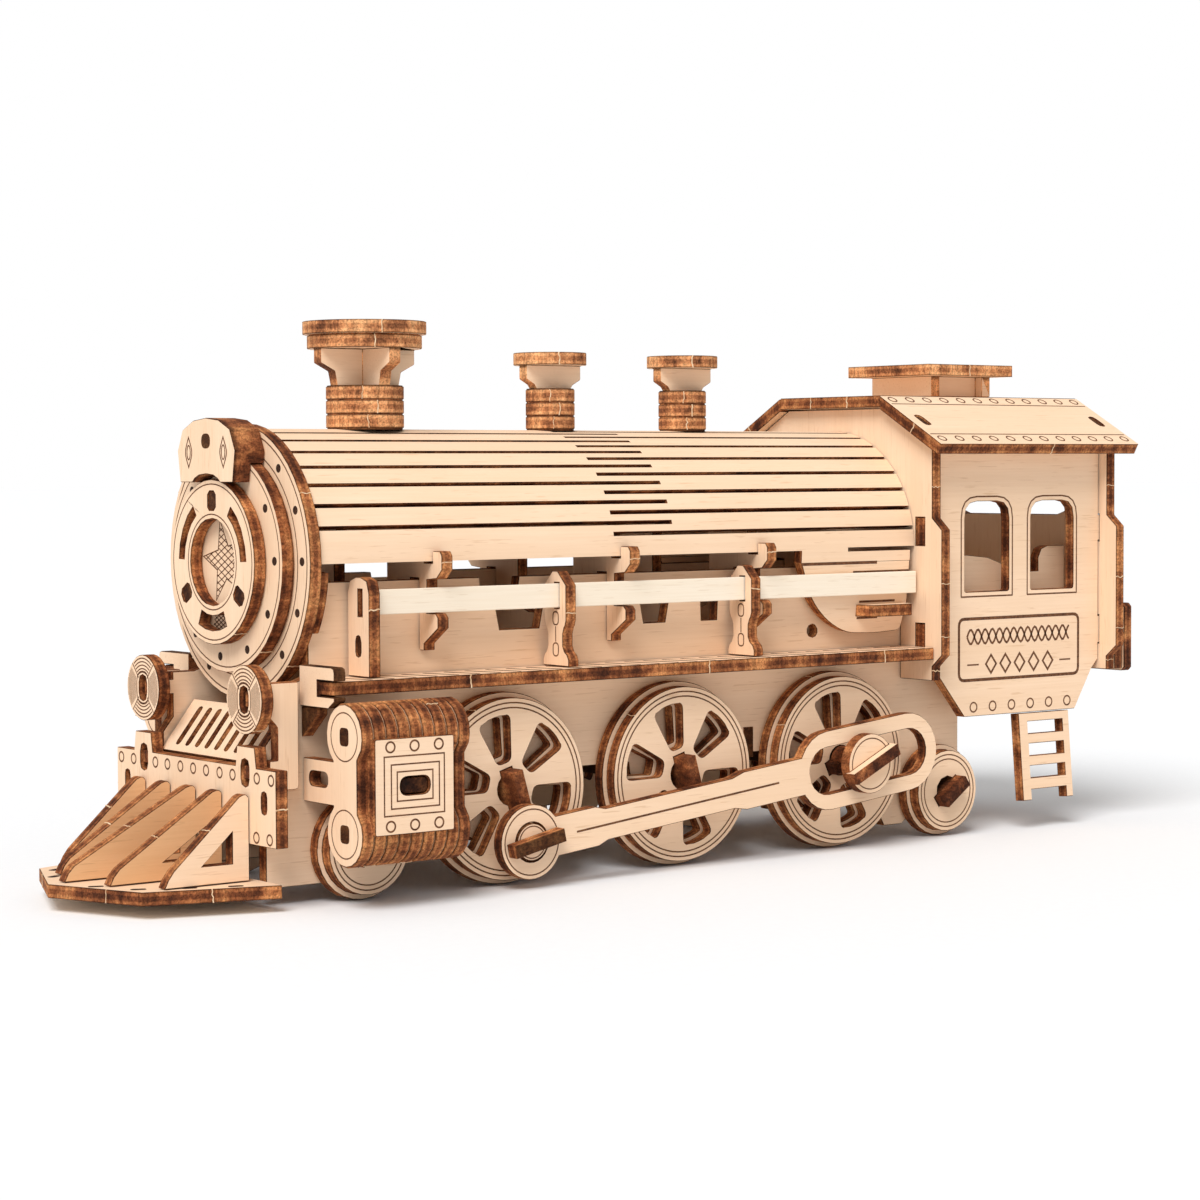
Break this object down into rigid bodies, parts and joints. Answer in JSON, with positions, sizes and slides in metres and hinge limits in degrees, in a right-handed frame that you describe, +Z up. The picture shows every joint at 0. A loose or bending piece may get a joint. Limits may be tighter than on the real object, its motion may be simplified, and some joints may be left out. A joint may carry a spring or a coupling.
{
  "type": "wooden locomotive puzzle model",
  "caption": "Steam locomotive built from laser-cut plywood plates, with turning wheelsets, slotted coupling rods, a bent boiler skin and an open cab.",
  "frame": {"origin": "on the ground under the middle of the model's box", "axes": "+X toward the cab and buffer board, -X toward the pilot, +Y to the side away from the picture, +Z up"},
  "size_m": [0.323, 0.1052, 0.1377],
  "materials": {
    "birch_face": "bare birch plywood face, fine grain, matte",
    "burnt_edge": "laser-charred plywood edge, streaked brown, matte",
    "pale_strip": "bare pale wood strip, matte"
  },
  "bodies": {
    "chassis": {"boiler_former_1": "birch_face", "boiler_former_2": "birch_face", "boiler_former_3": "birch_face", "boiler_skin": "birch_face", "buffer_beam": "birch_face", "cab_side_left": "birch_face", "cab_side_right": "birch_face", "cab_wall_front": "birch_face", "cab_wall_rear": "birch_face", "chimney": "birch_face", "cylinder_left": "birch_face", "cylinder_right": "birch_face", "dome_1": "birch_face", "dome_2": "birch_face", "grille": "birch_face", "handrail_left": "pale_strip", "handrail_right": "pale_strip", "headlamp_left": "birch_face", "headlamp_right": "birch_face", "ladder_left": "birch_face", "ladder_right": "birch_face", "number_plate": "birch_face", "pilot_base": "birch_face", "pilot_rib_1": "birch_face", "pilot_rib_2": "birch_face", "pilot_rib_3": "birch_face", "pilot_rib_4": "birch_face", "pilot_rib_5": "birch_face", "rail_post_1_left": "birch_face", "rail_post_1_right": "birch_face", "rail_post_2_left": "birch_face", "rail_post_2_right": "birch_face", "rail_post_3_left": "birch_face", "rail_post_3_right": "birch_face", "rear_board": "birch_face", "roof_slope_left": "birch_face", "roof_slope_right": "birch_face", "roof_top": "birch_face", "roof_vent": "birch_face", "running_board_left": "birch_face", "running_board_right": "birch_face", "side_frame_left": "birch_face", "side_frame_right": "birch_face", "smokebox_door": "birch_face", "smokebox_middle_disc": "birch_face", "smokebox_ring": "birch_face", "stretcher": "birch_face"},
    "wheelset_1": {"drive_wheel_1_left": "birch_face", "drive_wheel_1_right": "birch_face", "drive_axle_1": "burnt_edge"},
    "wheelset_2": {"drive_wheel_2_left": "birch_face", "drive_wheel_2_right": "birch_face", "drive_axle_2": "burnt_edge"},
    "wheelset_3": {"drive_wheel_3_left": "birch_face", "drive_wheel_3_right": "birch_face", "drive_axle_3": "burnt_edge"},
    "truck_front": {"small_wheelset_front": "birch_face"},
    "truck_rear": {"small_wheelset_rear": "birch_face"},
    "rod_left": {"coupling_rod_left": "birch_face"},
    "rod_right": {"coupling_rod_right": "birch_face"}
  },
  "joints": [
    {"name": "wheelset_1_turn", "type": "hinge", "parent": "chassis", "child": "wheelset_1", "pos_m": [-0.054, 0, 0.0235], "axis": [0, 1, 0], "range_deg": [-12, 90]},
    {"name": "wheelset_2_turn", "type": "hinge", "parent": "chassis", "child": "wheelset_2", "pos_m": [0, 0, 0.0235], "axis": [0, 1, 0], "continuous": true},
    {"name": "wheelset_3_turn", "type": "hinge", "parent": "chassis", "child": "wheelset_3", "pos_m": [0.054, 0, 0.0235], "axis": [0, 1, 0], "continuous": true},
    {"name": "truck_front_turn", "type": "hinge", "parent": "chassis", "child": "truck_front", "pos_m": [-0.0949, 0, 0.0125], "axis": [0, 1, 0], "continuous": true},
    {"name": "truck_rear_turn", "type": "hinge", "parent": "chassis", "child": "truck_rear", "pos_m": [0.0935, 0, 0.0125], "axis": [0, 1, 0], "continuous": true},
    {"name": "rod_left_swing", "type": "hinge", "parent": "wheelset_1", "child": "rod_left", "pos_m": [-0.054, -0.04, 0.0114], "axis": [0, 1, 0], "range_deg": [-85.5, 12]},
    {"name": "rod_right_swing", "type": "hinge", "parent": "wheelset_1", "child": "rod_right", "pos_m": [-0.054, 0.04, 0.0114], "axis": [0, 1, 0], "range_deg": [-85.5, 12]}
  ],
  "couplings": [
    {"joint": "rod_left_swing", "follows": "wheelset_1_turn", "ratio": -0.94},
    {"joint": "rod_right_swing", "follows": "wheelset_1_turn", "ratio": -0.94}
  ]
}
